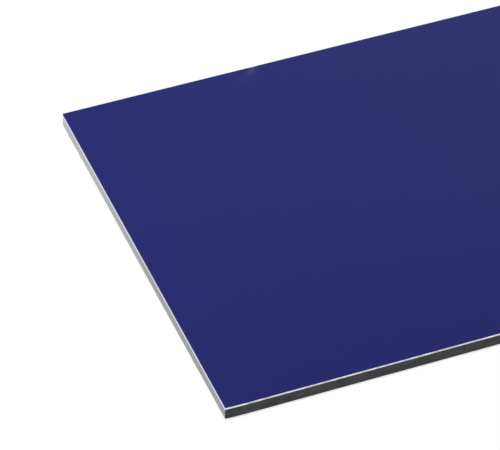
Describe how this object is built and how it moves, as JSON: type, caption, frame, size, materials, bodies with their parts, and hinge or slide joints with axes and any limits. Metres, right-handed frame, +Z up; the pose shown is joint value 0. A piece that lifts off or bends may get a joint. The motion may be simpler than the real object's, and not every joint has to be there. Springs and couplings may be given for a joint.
{
  "type": "aluminium composite panel",
  "caption": "Flat rectangular cladding sheet with a coated blue metal face, a solid black plastic core and a plain metal back, cut square.",
  "frame": {"origin": "middle of the underside, on the surface that the panel lies on", "axes": "+X along the length of the piece, +Y across its width, +Z up out of the coated blue face"},
  "size_m": [0.3, 0.11, 0.004],
  "materials": {
    "service_coat": "rolled aluminium sheet with a thin clear service coat, satin",
    "polyethylene": "sawn solid polyethylene, matt black",
    "blue_coat": "aluminium sheet coil-coated deep ultramarine blue, satin"
  },
  "bodies": {
    "root": {"back_skin": "service_coat", "core": "polyethylene", "face_skin": "blue_coat"}
  },
  "joints": []
}
